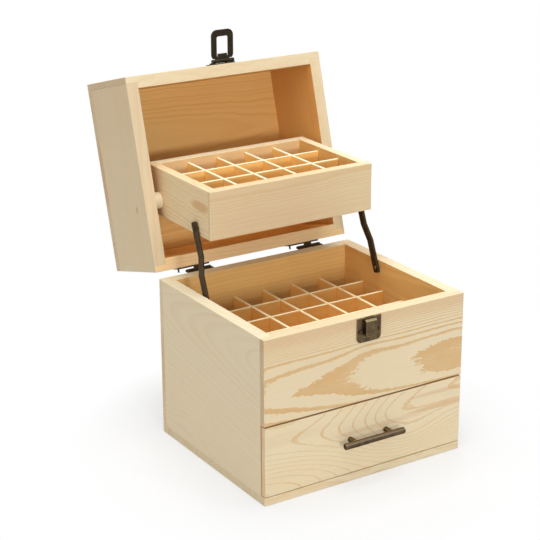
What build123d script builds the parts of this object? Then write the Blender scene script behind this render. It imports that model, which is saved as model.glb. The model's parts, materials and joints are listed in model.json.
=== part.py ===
from build123d import *
import math
import os

os.makedirs("parts", exist_ok=True)

# A wooden storage box for small bottles. The case stands on its bottom board, with a divided
# compartment above and a drawer below. The lid is hinged behind the back board. Inside it hangs
# a divided tray, which two metal arms keep level while the lid swings.
# X runs left to right, Y front to back and Z up. The origin is the middle of the case's underside.
# The box is drawn with its lid open, which is how it rests.

# Case
case_width = 220.0
case_depth = 188.0
case_height = 160.0
board = 12.0
lap = 6.5
bottom_thickness = 8.0
edge_round = 0.7

# Lid, with its top board
lid_height = 87.0
lid_top_thickness = 8.0
seam = 0.6
open_angle = 105.5

# Compartment above the drawer
shelf_thickness = 3.0
shelf_underside = 80.0
shelf_groove = 3.0
columns = 6
rows = 5
divider = 3.0
divider_height = 47.0

# Drawer
drawer_opening = 70.0
drawer_front_gap = 1.7
drawer_lift = 0.5
drawer_end_gap = 0.8
drawer_shift = 0.4
drawer_side = 5.0
drawer_play = 0.5
drawer_end_play = 1.0
drawer_side_height = 55.0
drawer_bottom_thickness = 3.0
drawer_divider = 2.5
drawer_divider_height = 42.0

# Handle on the drawer
handle_length = 66.6
handle_radius = 3.1
handle_spacing = 40.0
handle_offset = 11.0
handle_x = 2.4
handle_above_middle = 0.4
post_root_radius = 2.6
handle_end_round = 0.9
post_tip_radius = 3.0

# Tray in the lid
tray_side_gap = 7.5
tray_depth = 122.4
tray_height = 46.8
tray_side = 9.6
tray_end = 10.2
tray_lap = 4.0
tray_columns = 5
tray_rows = 3
tray_divider = 3.0
tray_rim_drop = 3.8
tray_bottom_thickness = 3.0
tray_bottom_lift = 2.0
tray_groove = 3.0

# Linkage: where the arms turn on the case, how the arms stand when the lid is open, and where
# they hold the tray. The arms are as long as the distance from the hinge to the tray's own pivot.
arm_pivot_back = 25.5
arm_pivot_drop = 8.5
link_back = 27.0
link_up = 67.0
tray_screw_inset = 24.5
tray_screw_height = 6.3
arm_width = 8.2
arm_corner = 2.6
arm_thickness = 2.0
arm_low_end = 4.6
arm_high_end = 6.5
arm_bend_start = 28.0
arm_bend_length = 17.0
arm_play = 0.15
washer_thickness = 0.8
washer_radius = 3.0
spacer_radius = 8.2
spacer_gap = 0.3

# Hinges behind the back board
hinge_back = 4.2
left_hinge_inset = 45.8
right_hinge_inset = 46.2
barrel_length = 26.0
barrel_radius = 1.5
hinge_pin_radius = 0.8
hinge_pin_head = 1.2
hinge_pin_head_thickness = 0.6
leaf_thickness = 1.3
leaf_height = 17.0
leaf_gap = 0.3
leaf_screw_inset = 6.5
lid_leaf_extra = 8.9
case_leaf_extra = 2.4
knuckle_gap = 0.2
stop_width = 1.3
stop_reach = 4.3

# Latch plate and catch on the case, hasp on the lid
latch_shift = 1.0
latch_width = 26.4
latch_height = 23.8
latch_thickness = 1.2
latch_corner = 4.6
latch_top_corner = 1.4
latch_edge_round = 0.3
latch_below_rim = 0.6
latch_screw_height = 10.7
latch_slot_width = 10.4
latch_slot_height = 1.4
latch_slot_depth = 0.9
latch_slot_gap = 0.8
catch_width = 11.8
catch_height = 15.0
catch_reach = 5.4
catch_below_rim = 2.4
catch_top_round = 2.6
catch_low_round = 0.8
hasp_width = 26.6
hasp_height = 15.6
hasp_thickness = 1.2
hasp_corner = 2.2
hasp_above_rim = 3.0
hasp_screw_height = 10.6
hasp_screw_spacing = 17.0
hasp_axis_above_rim = 5.6
hasp_barrel_radius = 1.9
hasp_pin_radius = 1.0
hasp_middle = 16.0
hasp_ear = 4.0
loop_width = 24.6
loop_start = 0.5
loop_reach = 30.8
loop_thickness = 2.0
loop_set_back = 1.0
loop_corner = 6.2
loop_edge_round = 0.6
window_width = 12.7
window_height = 20.3
window_start = 3.9
window_corner = 1.8
window_tab_width = 10.4
window_tab_height = 3.2

# Screws: radius of the head, its height, radius of the shank
small_head = 2.0
small_head_height = 1.1
small_shank = 1.1
small_length = 9.0
pivot_head = 2.3
pivot_head_height = 1.0
pivot_shank = 1.3
pivot_length = 6.5
tray_pivot_head = 3.8
tray_pivot_head_height = 2.0
tray_pivot_shank = 2.0
tray_pivot_length = 8.0
handle_screw_head = 3.6
handle_screw_head_height = 2.2
handle_screw_shank = 1.6
handle_screw_bite = 6.0
recess_share = 0.55
recess_slot = 0.5
recess_depth_share = 0.5
head_round_share = 0.4

# Fits
slip = 0.2
fixed_fit = 0.05
turning_fit = 0.08
open_pivot_fit = 0.25
slot_fit = 0.1
tip_space = 0.3

# Worked out from the sizes above
half_width = case_width / 2
half_depth = case_depth / 2
inner_width = case_width - 2 * board
inner_depth = case_depth - 2 * board
inner_x = inner_width / 2
tray_width = inner_width - 2 * tray_side_gap
front_y = -half_depth
back_y = half_depth
rim = case_height + seam
lid_top = rim + lid_height
hinge_y = back_y + hinge_back
hinge_z = case_height + seam / 2
swing = math.radians(open_angle)
shelf_top = shelf_underside + shelf_thickness
opening_top = bottom_thickness + drawer_opening


def opened(y, z):
    """Where a point of the closed lid, given by its depth and height, lies once the lid is open."""
    dy = y - hinge_y
    dz = z - hinge_z
    return (
        hinge_y + dy * math.cos(swing) + dz * math.sin(swing),
        hinge_z - dy * math.sin(swing) + dz * math.cos(swing),
    )


case_frame = Plane.XY
lid_frame = Plane(
    origin=(0, *opened(0, 0)),
    x_dir=(1, 0, 0),
    z_dir=(0, math.sin(swing), math.cos(swing)),
)


def on(frame, plane):
    """A drawing plane given in a frame's own directions, set where that frame stands."""
    return Plane(frame.location * plane.location)


def outer_edges(shape, frame, x_faces, y_faces, z_faces):
    """The edges of a piece that run along the outer corners of the box bounded by these faces."""
    found = ShapeList()
    for edge in shape.edges():
        spot = frame.to_local_coords(edge.center())
        hits = 0
        for value, faces in zip((spot.X, spot.Y, spot.Z), (x_faces, y_faces, z_faces)):
            if any(abs(value - face) < 0.01 for face in faces):
                hits += 1
        if hits >= 2:
            found.append(edge)
    return found


def lapped_board(frame, width, outer_y, inward, thickness, side, cover, low, high):
    """A front or back board, cut back at its ends to lap over the ends of the side boards."""
    half = width / 2
    shoulder = half - side
    cover_y = outer_y + inward * cover
    inner_y = outer_y + inward * thickness
    with BuildPart() as piece:
        with BuildSketch(on(frame, Plane.XY.offset(low))):
            with BuildLine():
                Polyline(
                    (-half, outer_y),
                    (half, outer_y),
                    (half, cover_y),
                    (shoulder, cover_y),
                    (shoulder, inner_y),
                    (-shoulder, inner_y),
                    (-shoulder, cover_y),
                    (-half, cover_y),
                    close=True,
                )
            make_face()
        extrude(amount=high - low)
    return piece


def long_dividers(floor, size, height, counts, thickness):
    """Thin plates along X, one between each two rows, slotted from above for the cross plates."""
    pitch_x = (size[0] + thickness) / counts[0]
    pitch_y = (size[1] + thickness) / counts[1]
    with BuildPart() as plates:
        with BuildSketch(floor):
            with GridLocations(0, pitch_y, 1, counts[1] - 1):
                Rectangle(size[0] - 2 * slip, thickness)
        extrude(amount=height)
        with BuildSketch(floor.offset(height / 2)):
            with GridLocations(pitch_x, pitch_y, counts[0] - 1, counts[1] - 1):
                Rectangle(thickness + 2 * slot_fit, thickness)
        extrude(amount=height / 2, mode=Mode.SUBTRACT)
    return plates


def cross_dividers(floor, size, height, counts, thickness):
    """Thin plates along Y, one between each two columns, slotted from below."""
    pitch_x = (size[0] + thickness) / counts[0]
    pitch_y = (size[1] + thickness) / counts[1]
    with BuildPart() as plates:
        with BuildSketch(floor):
            with GridLocations(pitch_x, 0, counts[0] - 1, 1):
                Rectangle(thickness, size[1] - 2 * slip)
        extrude(amount=height)
        with BuildSketch(floor):
            with GridLocations(pitch_x, pitch_y, counts[0] - 1, counts[1] - 1):
                Rectangle(thickness, thickness + 2 * slot_fit)
        extrude(amount=height / 2, mode=Mode.SUBTRACT)
    return plates


def recess(spots, head, depth):
    """Cross recesses cut into screw heads, at spots of the current workplane."""
    with Locations(*spots):
        Box(2 * recess_share * head, recess_slot, 2 * depth, mode=Mode.SUBTRACT)
        Box(recess_slot, 2 * recess_share * head, 2 * depth, mode=Mode.SUBTRACT)


def round_screws(seat, spots, head, head_height, shank, length):
    """Screws whose domed heads stand on a plane, with their shanks running down behind it."""
    with BuildPart(seat) as screws:
        with Locations(*spots):
            Cylinder(head, head_height, align=(Align.CENTER, Align.CENTER, Align.MIN))
            Cylinder(shank, length, align=(Align.CENTER, Align.CENTER, Align.MAX))
        tops = screws.edges().group_by(Axis(seat.origin, seat.z_dir))[-1]
        fillet(tops, head_round_share * head_height)
        recess([(x, y, head_height) for x, y in spots], head, recess_depth_share * head_height)
    return screws


def flush_screws(seat, spots, head, head_height, shank, length):
    """Countersunk screws whose flat heads finish level with a plane."""
    with BuildPart(seat) as screws:
        with Locations(*spots):
            Cone(shank, head, head_height, align=(Align.CENTER, Align.CENTER, Align.MAX))
            Cylinder(shank, length, align=(Align.CENTER, Align.CENTER, Align.MAX))
        recess([(x, y, 0) for x, y in spots], head, recess_depth_share * head_height)
    return screws


def drill(seat, spots, radius, depth):
    """Blind holes sunk into the piece being made, from a plane and along its back."""
    with Locations(seat):
        with Locations(*spots):
            Hole(radius, depth)


def countersink(seat, spots, radius, head, head_height, depth):
    """Holes with a conical mouth that takes a flush screw, from a plane and along its back."""
    angle = 2 * math.degrees(math.atan((head - radius) / head_height))
    with Locations(seat):
        with Locations(*spots):
            CounterSinkHole(radius, head, depth, angle)


# Faces that carry fittings, each pointing away from the wood
case_back_face = Plane(origin=(0, back_y, 0), x_dir=(-1, 0, 0), z_dir=(0, 1, 0))
case_front_face = Plane(origin=(0, front_y, 0), x_dir=(1, 0, 0), z_dir=(0, -1, 0))
lid_back_face = on(lid_frame, case_back_face)
lid_front_face = on(lid_frame, case_front_face)

# Linkage points, as depth and height with the lid open
arm_pivot = (arm_pivot_back, case_height - arm_pivot_drop)
tray_screw = (arm_pivot[0] + link_back, arm_pivot[1] + link_up)
tray_pivot = (hinge_y + link_back, hinge_z + link_up)
link_length = math.hypot(link_back, link_up)
tray_front_y = tray_screw[0] - tray_screw_inset
tray_back_y = tray_front_y + tray_depth
tray_middle_y = (tray_front_y + tray_back_y) / 2
tray_low = tray_screw[1] - tray_screw_height
tray_high = tray_low + tray_height
tray_x = tray_width / 2
tray_pivot_closed = (
    hinge_y + link_back * math.cos(swing) - link_up * math.sin(swing),
    hinge_z + link_back * math.sin(swing) + link_up * math.cos(swing),
)

# Stack of the arm and its washers, as distances from the middle of the box
low_washer_x = inner_x - washer_thickness
low_arm_x = low_washer_x - arm_play - arm_thickness
low_head_x = low_arm_x - arm_play
high_washer_x = tray_x + washer_thickness
high_arm_x = high_washer_x + arm_play
high_head_x = high_arm_x + arm_thickness + arm_play
arm_low_seat = Plane(origin=(low_head_x, *arm_pivot), x_dir=(0, 1, 0), z_dir=(-1, 0, 0))
arm_high_seat = Plane(origin=(high_head_x, *tray_screw), x_dir=(0, 1, 0), z_dir=(1, 0, 0))
inner_wall = Plane(origin=(inner_x, *arm_pivot), x_dir=(0, 1, 0), z_dir=(-1, 0, 0))
tray_outer_wall = Plane(origin=(tray_x, *tray_screw), x_dir=(0, 1, 0), z_dir=(1, 0, 0))

# Hinge screws: two for each leaf, across its height
hinge_left = left_hinge_inset - half_width
hinge_right = half_width - right_hinge_inset
hinge_centres = (hinge_left, hinge_right)
leaf_screw_step = barrel_length / 2 - small_head
leaf_screw_rise = leaf_height - leaf_screw_inset
case_leaf_spots = [
    (-(centre + side * leaf_screw_step), hinge_z - leaf_screw_rise)
    for centre in hinge_centres
    for side in (-1, 1)
]
lid_leaf_spots = [
    (-(centre + side * leaf_screw_step), hinge_z + leaf_screw_rise)
    for centre in hinge_centres
    for side in (-1, 1)
]
hinge_drill_depth = small_length - leaf_thickness + tip_space

# Latch and hasp screws
latch_low = case_height - latch_below_rim - latch_height
latch_screw_side = (catch_width + latch_width) / 4
latch_spots = [
    (latch_shift - latch_screw_side, latch_low + latch_screw_height),
    (latch_shift + latch_screw_side, latch_low + latch_screw_height),
]
hasp_axis_z = rim + hasp_axis_above_rim
hasp_axis_y = front_y - hasp_thickness - hasp_barrel_radius - slip
hasp_screw_z = rim + hasp_above_rim + hasp_screw_height
hasp_spots = [
    (latch_shift - hasp_screw_spacing / 2, hasp_screw_z),
    (latch_shift + hasp_screw_spacing / 2, hasp_screw_z),
]
latch_drill_depth = small_length - latch_thickness + tip_space
hasp_drill_depth = small_length - hasp_thickness + tip_space


# Case boards
def case_edges(shape):
    """The outer corners of the case that a piece has."""
    return outer_edges(
        shape, case_frame, (-half_width, half_width), (front_y, back_y), (0, case_height)
    )


with BuildPart() as shelf_pocket:
    with BuildSketch(Plane.XY.offset(shelf_underside)):
        Rectangle(inner_width + 2 * shelf_groove, inner_depth + 2 * shelf_groove)
    extrude(amount=shelf_thickness)

with BuildPart() as bottom_board:
    with BuildSketch(Plane.XY):
        Rectangle(case_width, case_depth)
    extrude(amount=bottom_thickness)
    fillet(case_edges(bottom_board.part), edge_round)

bottom_board.part.label = "bottom_board"
export_step(bottom_board.part, "parts/bottom_board.step")

with BuildPart() as right_side:
    with BuildSketch(Plane.XY.offset(bottom_thickness)):
        with Locations((half_width - board / 2, 0)):
            Rectangle(board, case_depth - 2 * lap)
    extrude(amount=case_height - bottom_thickness)
    add(shelf_pocket.part, mode=Mode.SUBTRACT)
    drill(inner_wall, [(0, 0)], pivot_shank + fixed_fit, pivot_length + tip_space)
    fillet(case_edges(right_side.part), edge_round)

right_side.part.label = "right_side"
export_step(right_side.part, "parts/right_side.step")

with BuildPart() as left_side:
    mirror(right_side.part, about=Plane.YZ)

left_side.part.label = "left_side"
export_step(left_side.part, "parts/left_side.step")

with BuildPart() as back_board:
    add(
        lapped_board(
            case_frame, case_width, back_y, -1, board, board, lap, bottom_thickness, case_height
        ).part
    )
    add(shelf_pocket.part, mode=Mode.SUBTRACT)
    drill(case_back_face, case_leaf_spots, small_shank + fixed_fit, hinge_drill_depth)
    fillet(case_edges(back_board.part), edge_round)

back_board.part.label = "back_board"
export_step(back_board.part, "parts/back_board.step")

with BuildPart() as front_board:
    add(
        lapped_board(
            case_frame, case_width, front_y, 1, board, board, lap, opening_top, case_height
        ).part
    )
    add(shelf_pocket.part, mode=Mode.SUBTRACT)
    drill(case_front_face, latch_spots, small_shank + fixed_fit, latch_drill_depth)
    fillet(case_edges(front_board.part), edge_round)

front_board.part.label = "front_board"
export_step(front_board.part, "parts/front_board.step")

with BuildPart() as middle_shelf:
    with BuildSketch(Plane.XY.offset(shelf_underside)):
        Rectangle(
            inner_width + 2 * shelf_groove - 2 * slip,
            inner_depth + 2 * shelf_groove - 2 * slip,
        )
    extrude(amount=shelf_thickness)

middle_shelf.part.label = "middle_shelf"
export_step(middle_shelf.part, "parts/middle_shelf.step")

# Dividers of the compartment
case_floor = Plane.XY.offset(shelf_top)
case_grid = ((inner_width, inner_depth), divider_height, (columns, rows), divider)

case_long_dividers = long_dividers(case_floor, *case_grid)
case_long_dividers.part.label = "case_long_dividers"
export_step(case_long_dividers.part, "parts/case_long_dividers.step")

case_cross_dividers = cross_dividers(case_floor, *case_grid)
case_cross_dividers.part.label = "case_cross_dividers"
export_step(case_cross_dividers.part, "parts/case_cross_dividers.step")

# Drawer: its front laps over the front ends of the case's side boards
drawer_low = bottom_thickness + drawer_lift
drawer_high = opening_top - drawer_front_gap
drawer_width = inner_width - 2 * drawer_play
drawer_x = drawer_width / 2
drawer_box_front = front_y + board
drawer_box_back = back_y - board - drawer_end_play
drawer_box_depth = drawer_box_back - drawer_box_front
drawer_floor = drawer_low + drawer_bottom_thickness
drawer_middle_y = (drawer_box_front + drawer_box_back - drawer_side) / 2
drawer_frame = Plane(origin=(drawer_shift, 0, 0))
drawer_front_width = case_width - 2 * drawer_shift
handle_z = (drawer_low + drawer_high) / 2 + handle_above_middle
handle_y = front_y - handle_offset
handle_screw_length = board + handle_screw_bite
drawer_inner_face = Plane(
    origin=(handle_x, drawer_box_front, handle_z), x_dir=(-1, 0, 0), z_dir=(0, 1, 0)
)
handle_spots = [(-handle_spacing / 2, 0), (handle_spacing / 2, 0)]

with BuildPart() as drawer_front:
    add(
        lapped_board(
            drawer_frame,
            drawer_front_width,
            front_y,
            1,
            board,
            board + drawer_play,
            lap - drawer_end_gap,
            drawer_low,
            drawer_high,
        ).part
    )
    countersink(
        drawer_inner_face,
        handle_spots,
        handle_screw_shank + fixed_fit,
        handle_screw_head + fixed_fit,
        handle_screw_head_height,
        board,
    )
    fillet(
        outer_edges(
            drawer_front.part,
            drawer_frame,
            (-drawer_front_width / 2, drawer_front_width / 2),
            (front_y,),
            (drawer_low, drawer_high),
        ),
        edge_round,
    )

drawer_front.part.label = "drawer_front"
export_step(drawer_front.part, "parts/drawer_front.step")

with BuildPart() as drawer_right_side:
    with BuildSketch(Plane.XY.offset(drawer_floor)):
        with Locations((drawer_x - drawer_side / 2, (drawer_box_front + drawer_box_back) / 2)):
            Rectangle(drawer_side, drawer_box_depth)
    extrude(amount=drawer_side_height)

drawer_right_side.part.label = "drawer_right_side"
export_step(drawer_right_side.part, "parts/drawer_right_side.step")

with BuildPart() as drawer_left_side:
    mirror(drawer_right_side.part, about=Plane.YZ)

drawer_left_side.part.label = "drawer_left_side"
export_step(drawer_left_side.part, "parts/drawer_left_side.step")

with BuildPart() as drawer_back:
    with BuildSketch(Plane.XY.offset(drawer_floor)):
        with Locations((0, drawer_box_back - drawer_side / 2)):
            Rectangle(drawer_width - 2 * drawer_side, drawer_side)
    extrude(amount=drawer_side_height)

drawer_back.part.label = "drawer_back"
export_step(drawer_back.part, "parts/drawer_back.step")

with BuildPart() as drawer_bottom:
    with BuildSketch(Plane.XY.offset(drawer_low)):
        with Locations((0, (drawer_box_front + drawer_box_back) / 2)):
            Rectangle(drawer_width, drawer_box_depth)
    extrude(amount=drawer_bottom_thickness)

drawer_bottom.part.label = "drawer_bottom"
export_step(drawer_bottom.part, "parts/drawer_bottom.step")

drawer_grid_floor = Plane(origin=(0, drawer_middle_y, drawer_floor))
drawer_grid = (
    (drawer_width - 2 * drawer_side, drawer_box_depth - drawer_side),
    drawer_divider_height,
    (columns, rows),
    drawer_divider,
)

drawer_long_dividers = long_dividers(drawer_grid_floor, *drawer_grid)
drawer_long_dividers.part.label = "drawer_long_dividers"
export_step(drawer_long_dividers.part, "parts/drawer_long_dividers.step")

drawer_cross_dividers = cross_dividers(drawer_grid_floor, *drawer_grid)
drawer_cross_dividers.part.label = "drawer_cross_dividers"
export_step(drawer_cross_dividers.part, "parts/drawer_cross_dividers.step")

# Handle: a round bar on two posts, screwed from inside the drawer
with BuildPart() as handle_bar:
    with BuildSketch(Plane.YZ.offset(handle_x - handle_length / 2)):
        with Locations((handle_y, handle_z)):
            Circle(handle_radius)
    extrude(amount=handle_length)
    fillet(handle_bar.edges().filter_by(GeomType.CIRCLE), handle_end_round)

handle_bar.part.label = "handle_bar"
export_step(handle_bar.part, "parts/handle_bar.step")

drawer_outer_face = Plane(
    origin=(handle_x, front_y, handle_z), x_dir=(1, 0, 0), z_dir=(0, -1, 0)
)

with BuildPart(drawer_outer_face) as handle_posts:
    with Locations(*handle_spots):
        Cone(
            post_root_radius,
            post_tip_radius,
            handle_offset,
            align=(Align.CENTER, Align.CENTER, Align.MIN),
        )
        Cylinder(
            handle_screw_shank + fixed_fit,
            handle_screw_bite + tip_space,
            align=(Align.CENTER, Align.CENTER, Align.MIN),
            mode=Mode.SUBTRACT,
        )
    with Locations((0, 0, handle_offset)):
        Cylinder(
            handle_radius + fixed_fit,
            2 * handle_length,
            rotation=(0, 90, 0),
            mode=Mode.SUBTRACT,
        )

handle_posts.part.label = "handle_posts"
export_step(handle_posts.part, "parts/handle_posts.step")

handle_screws = flush_screws(
    drawer_inner_face,
    handle_spots,
    handle_screw_head,
    handle_screw_head_height,
    handle_screw_shank,
    handle_screw_length,
)
handle_screws.part.label = "handle_screws"
export_step(handle_screws.part, "parts/handle_screws.step")

# Lid boards, drawn as they lie when it is shut and set where the open lid stands
lid_board_top = lid_top - lid_top_thickness
tray_pivot_seat = Plane(
    origin=(tray_x - tray_side + tray_pivot_head_height + 2 * slip, *tray_pivot),
    x_dir=(0, 1, 0),
    z_dir=(-1, 0, 0),
)
tray_pivot_seat_x = tray_pivot_seat.origin.X
lid_inner_wall = Plane(origin=(inner_x, *tray_pivot), x_dir=(0, 1, 0), z_dir=(-1, 0, 0))


def lid_edges(shape):
    """The outer corners of the lid that a piece has."""
    return outer_edges(
        shape, lid_frame, (-half_width, half_width), (front_y, back_y), (rim, lid_top)
    )


with BuildPart() as lid_top_board:
    with BuildSketch(on(lid_frame, Plane.XY.offset(lid_board_top))):
        Rectangle(case_width, case_depth)
    extrude(amount=lid_top_thickness)
    fillet(lid_edges(lid_top_board.part), edge_round)

lid_top_board.part.label = "lid_top_board"
export_step(lid_top_board.part, "parts/lid_top_board.step")

with BuildPart() as lid_right_side:
    with BuildSketch(on(lid_frame, Plane.XY.offset(rim))):
        with Locations((half_width - board / 2, 0)):
            Rectangle(board, case_depth - 2 * lap)
    extrude(amount=lid_board_top - rim)
    drill(lid_inner_wall, [(0, 0)], tray_pivot_shank + fixed_fit, tray_pivot_length + tip_space)
    fillet(lid_edges(lid_right_side.part), edge_round)

lid_right_side.part.label = "lid_right_side"
export_step(lid_right_side.part, "parts/lid_right_side.step")

with BuildPart() as lid_left_side:
    mirror(lid_right_side.part, about=Plane.YZ)

lid_left_side.part.label = "lid_left_side"
export_step(lid_left_side.part, "parts/lid_left_side.step")

with BuildPart() as lid_back_board:
    add(
        lapped_board(
            lid_frame, case_width, back_y, -1, board, board, lap, rim, lid_board_top
        ).part
    )
    drill(lid_back_face, lid_leaf_spots, small_shank + fixed_fit, hinge_drill_depth)
    fillet(lid_edges(lid_back_board.part), edge_round)

lid_back_board.part.label = "lid_back_board"
export_step(lid_back_board.part, "parts/lid_back_board.step")

with BuildPart() as lid_front_board:
    add(
        lapped_board(
            lid_frame, case_width, front_y, 1, board, board, lap, rim, lid_board_top
        ).part
    )
    drill(lid_front_face, hasp_spots, small_shank + fixed_fit, hasp_drill_depth)
    fillet(lid_edges(lid_front_board.part), edge_round)

lid_front_board.part.label = "lid_front_board"
export_step(lid_front_board.part, "parts/lid_front_board.step")


# Hinges: a leaf on the case with two knuckles, a leaf on the lid with one, and a pin
def hinge_leaf(frame, up, centre, low_extra, high_extra, knuckles):
    """A leaf flat on a back board, its knuckles round the pin, and a bent stop at its longer end."""
    low_x = centre - barrel_length / 2 - low_extra
    high_x = centre + barrel_length / 2 + high_extra
    stop_x = low_x if low_extra > high_extra else high_x - stop_width
    with BuildPart() as leaf:
        with BuildSketch(on(frame, Plane.YZ.offset(low_x))):
            with Locations((back_y + leaf_thickness / 2, hinge_z + up * (leaf_gap + leaf_height) / 2)):
                Rectangle(leaf_thickness, leaf_height - leaf_gap)
        extrude(amount=high_x - low_x)
        for start, end in knuckles:
            with BuildSketch(on(frame, Plane.YZ.offset(centre + start))):
                with Locations((hinge_y, hinge_z)):
                    Circle(barrel_radius)
                web_low = hinge_z + up * (barrel_radius - leaf_thickness / 2)
                with Locations(((back_y + hinge_y) / 2, web_low)):
                    Rectangle(hinge_back, leaf_thickness)
            extrude(amount=end - start)
        with BuildSketch(on(frame, Plane.YZ.offset(stop_x))):
            with Locations((back_y + stop_reach / 2, hinge_z + up * (leaf_gap + leaf_thickness / 2))):
                Rectangle(stop_reach, leaf_thickness)
        extrude(amount=stop_width)
        with BuildSketch(on(frame, Plane.YZ.offset(centre - barrel_length / 2))):
            with Locations((hinge_y, hinge_z)):
                Circle(hinge_pin_radius + turning_fit)
        extrude(amount=barrel_length, mode=Mode.SUBTRACT)
        countersink(
            on(frame, Plane(origin=(0, back_y + leaf_thickness, 0), x_dir=(-1, 0, 0), z_dir=(0, 1, 0))),
            [
                (-(centre + step * leaf_screw_step), hinge_z + up * leaf_screw_rise)
                for step in (-1, 1)
            ],
            small_shank + fixed_fit,
            small_head + fixed_fit,
            leaf_thickness - fixed_fit,
            2 * leaf_thickness,
        )
    return leaf


def hinge_pin(centre):
    """A pin through one hinge, with a small head at each end."""
    head_start = barrel_length / 2 + slip
    pin_end = head_start + hinge_pin_head_thickness
    with BuildPart() as pin:
        with BuildSketch(Plane.YZ.offset(centre - pin_end)):
            with Locations((hinge_y, hinge_z)):
                Circle(hinge_pin_radius)
        extrude(amount=2 * pin_end)
        for start in (-pin_end, head_start):
            with BuildSketch(Plane.YZ.offset(centre + start)):
                with Locations((hinge_y, hinge_z)):
                    Circle(hinge_pin_head)
            extrude(amount=hinge_pin_head_thickness)
    return pin


third = barrel_length / 3
case_knuckles = [
    (-barrel_length / 2, -third / 2 - knuckle_gap / 2),
    (third / 2 + knuckle_gap / 2, barrel_length / 2),
]
lid_knuckles = [(-third / 2 + knuckle_gap / 2, third / 2 - knuckle_gap / 2)]

left_hinge_case_leaf = hinge_leaf(
    case_frame, -1, hinge_left, 0, case_leaf_extra, case_knuckles
)
left_hinge_case_leaf.part.label = "left_hinge_case_leaf"
export_step(left_hinge_case_leaf.part, "parts/left_hinge_case_leaf.step")

right_hinge_case_leaf = hinge_leaf(
    case_frame, -1, hinge_right, 0, case_leaf_extra, case_knuckles
)
right_hinge_case_leaf.part.label = "right_hinge_case_leaf"
export_step(right_hinge_case_leaf.part, "parts/right_hinge_case_leaf.step")

left_hinge_lid_leaf = hinge_leaf(
    lid_frame, 1, hinge_left, lid_leaf_extra, 0, lid_knuckles
)
left_hinge_lid_leaf.part.label = "left_hinge_lid_leaf"
export_step(left_hinge_lid_leaf.part, "parts/left_hinge_lid_leaf.step")

right_hinge_lid_leaf = hinge_leaf(
    lid_frame, 1, hinge_right, lid_leaf_extra, 0, lid_knuckles
)
right_hinge_lid_leaf.part.label = "right_hinge_lid_leaf"
export_step(right_hinge_lid_leaf.part, "parts/right_hinge_lid_leaf.step")

left_hinge_pin = hinge_pin(hinge_left)
left_hinge_pin.part.label = "left_hinge_pin"
export_step(left_hinge_pin.part, "parts/left_hinge_pin.step")

right_hinge_pin = hinge_pin(hinge_right)
right_hinge_pin.part.label = "right_hinge_pin"
export_step(right_hinge_pin.part, "parts/right_hinge_pin.step")

case_leaf_face = case_back_face.offset(leaf_thickness)
lid_leaf_face = lid_back_face.offset(leaf_thickness)
small_screw = (small_head, leaf_thickness - fixed_fit, small_shank, small_length)

hinge_case_screws = flush_screws(case_leaf_face, case_leaf_spots, *small_screw)
hinge_case_screws.part.label = "hinge_case_screws"
export_step(hinge_case_screws.part, "parts/hinge_case_screws.step")

hinge_lid_screws = flush_screws(lid_leaf_face, lid_leaf_spots, *small_screw)
hinge_lid_screws.part.label = "hinge_lid_screws"
export_step(hinge_lid_screws.part, "parts/hinge_lid_screws.step")

# Latch plate, a thin plate with well rounded lower corners and a groove above and below the catch
latch_plane = Plane(origin=(latch_shift, front_y, latch_low), x_dir=(1, 0, 0), z_dir=(0, -1, 0))
catch_high = latch_height - catch_below_rim + latch_below_rim
catch_middle = catch_high - catch_height / 2

with BuildPart() as latch_plate:
    with BuildSketch(latch_plane):
        with Locations((0, latch_height / 2)):
            plate_outline = Rectangle(latch_width, latch_height)
        low_corners = plate_outline.vertices().group_by(Axis.Y)[0]
        top_corners = plate_outline.vertices().group_by(Axis.Y)[-1]
        fillet(low_corners, latch_corner)
        fillet(top_corners, latch_top_corner)
    extrude(amount=latch_thickness)
    front_rim = latch_plate.edges().group_by(Axis.Y)[0]
    fillet(front_rim, latch_edge_round)
    with BuildSketch(latch_plane.offset(latch_thickness)):
        with Locations((0, catch_middle)):
            with GridLocations(0, catch_height + 2 * latch_slot_gap + latch_slot_height, 1, 2):
                SlotOverall(latch_slot_width, latch_slot_height)
    extrude(amount=-latch_slot_depth, mode=Mode.SUBTRACT)
    drill(
        case_front_face.offset(latch_thickness),
        latch_spots,
        small_shank + fixed_fit,
        2 * latch_thickness,
    )

latch_plate.part.label = "latch_plate"
export_step(latch_plate.part, "parts/latch_plate.step")

# Catch, the raised block that the loop drops over: its top edge is rolled back towards the plate
with BuildPart(latch_plane.offset(latch_thickness)) as latch_catch:
    with Locations((0, catch_middle)):
        Box(
            catch_width,
            catch_height,
            catch_reach - latch_thickness,
            align=(Align.CENTER, Align.CENTER, Align.MIN),
        )
    face_rim = latch_catch.edges().group_by(Axis.Y)[0]
    fillet(face_rim.sort_by(Axis.Z)[-1], catch_top_round)
    face_rim = latch_catch.edges().group_by(Axis.Y)[0]
    fillet(face_rim.sort_by(Axis.Z)[0], catch_low_round)

latch_catch.part.label = "latch_catch"
export_step(latch_catch.part, "parts/latch_catch.step")

small_round_screw = (small_head, small_head_height, small_shank, small_length)

latch_screws = round_screws(
    case_front_face.offset(latch_thickness), latch_spots, *small_round_screw
)
latch_screws.part.label = "latch_screws"
export_step(latch_screws.part, "parts/latch_screws.step")

# Hasp bracket on the lid's front board, with an ear on each side of the loop
ear_start = hasp_middle / 2 + slip
hasp_plane = on(
    lid_frame,
    Plane(origin=(latch_shift, front_y, rim + hasp_above_rim), x_dir=(1, 0, 0), z_dir=(0, -1, 0)),
)

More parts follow.
